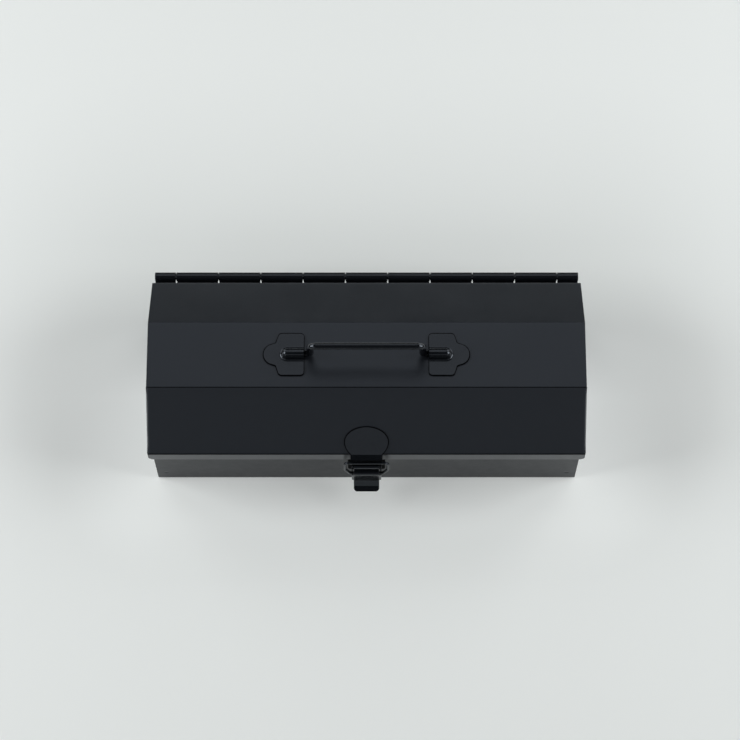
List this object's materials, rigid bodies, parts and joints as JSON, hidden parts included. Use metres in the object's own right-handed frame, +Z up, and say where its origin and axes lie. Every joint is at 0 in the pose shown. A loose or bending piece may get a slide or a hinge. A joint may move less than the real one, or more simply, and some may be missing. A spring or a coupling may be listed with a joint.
{
  "type": "camber-top steel tool box",
  "caption": "Hand-carried black steel box with a camber-top hinged lid, a swinging bail handle and a front draw latch.",
  "frame": {"origin": "on the underside of the base, in the middle of its width and depth", "axes": "+X to the right seen from the front, where the latch is; +Y to the rear, where the hinge is; +Z up"},
  "size_m": [0.359, 0.1811, 0.1441],
  "materials": {
    "shell_paint": "satin black powder coat with a fine orange peel",
    "fitting_paint": "satin black paint on pressed steel fittings",
    "wire_paint": "smooth black on round steel rod and wire",
    "pin_steel": "blackened steel pins and rivets"
  },
  "bodies": {
    "base": {"base_wrap": "shell_paint", "base_end_left": "shell_paint", "base_end_right": "shell_paint", "base_hinge_leaf": "fitting_paint", "hinge_pin": "pin_steel", "latch_mount_plate": "fitting_paint", "mount_rivet_lower_left": "pin_steel", "mount_rivet_lower_right": "pin_steel", "mount_rivet_upper_left": "pin_steel", "mount_rivet_upper_right": "pin_steel", "lever_fulcrum_pin": "pin_steel"},
    "lid": {"lid_sheet": "shell_paint", "lid_end_left": "shell_paint", "lid_end_right": "shell_paint", "lid_hinge_leaf": "fitting_paint", "handle_ear_left": "fitting_paint", "handle_ear_right": "fitting_paint", "catch_plate": "fitting_paint"},
    "handle": {"handle": "wire_paint"},
    "lever": {"latch_lever": "fitting_paint"},
    "bail": {"latch_bail": "wire_paint"}
  },
  "joints": [
    {"name": "lid_hinge", "type": "hinge", "parent": "base", "child": "lid", "pos_m": [0, 0.0851, 0.065], "axis": [-1, 0, 0], "range_deg": [0, 105]},
    {"name": "handle_pivot", "type": "hinge", "parent": "lid", "child": "handle", "pos_m": [0, 0, 0.1116], "axis": [1, 0, 0], "range_deg": [-98, 80.5]},
    {"name": "lever_pivot", "type": "hinge", "parent": "base", "child": "lever", "pos_m": [0, -0.0805, 0.059], "axis": [-1, 0, 0], "range_deg": [0, 120]},
    {"name": "bail_pivot", "type": "hinge", "parent": "lever", "child": "bail", "pos_m": [0, -0.0817, 0.046], "axis": [-1, 0, 0], "range_deg": [-150, 0]}
  ],
  "couplings": [
    {"joint": "bail_pivot", "follows": "lever_pivot", "ratio": -1.25}
  ]
}
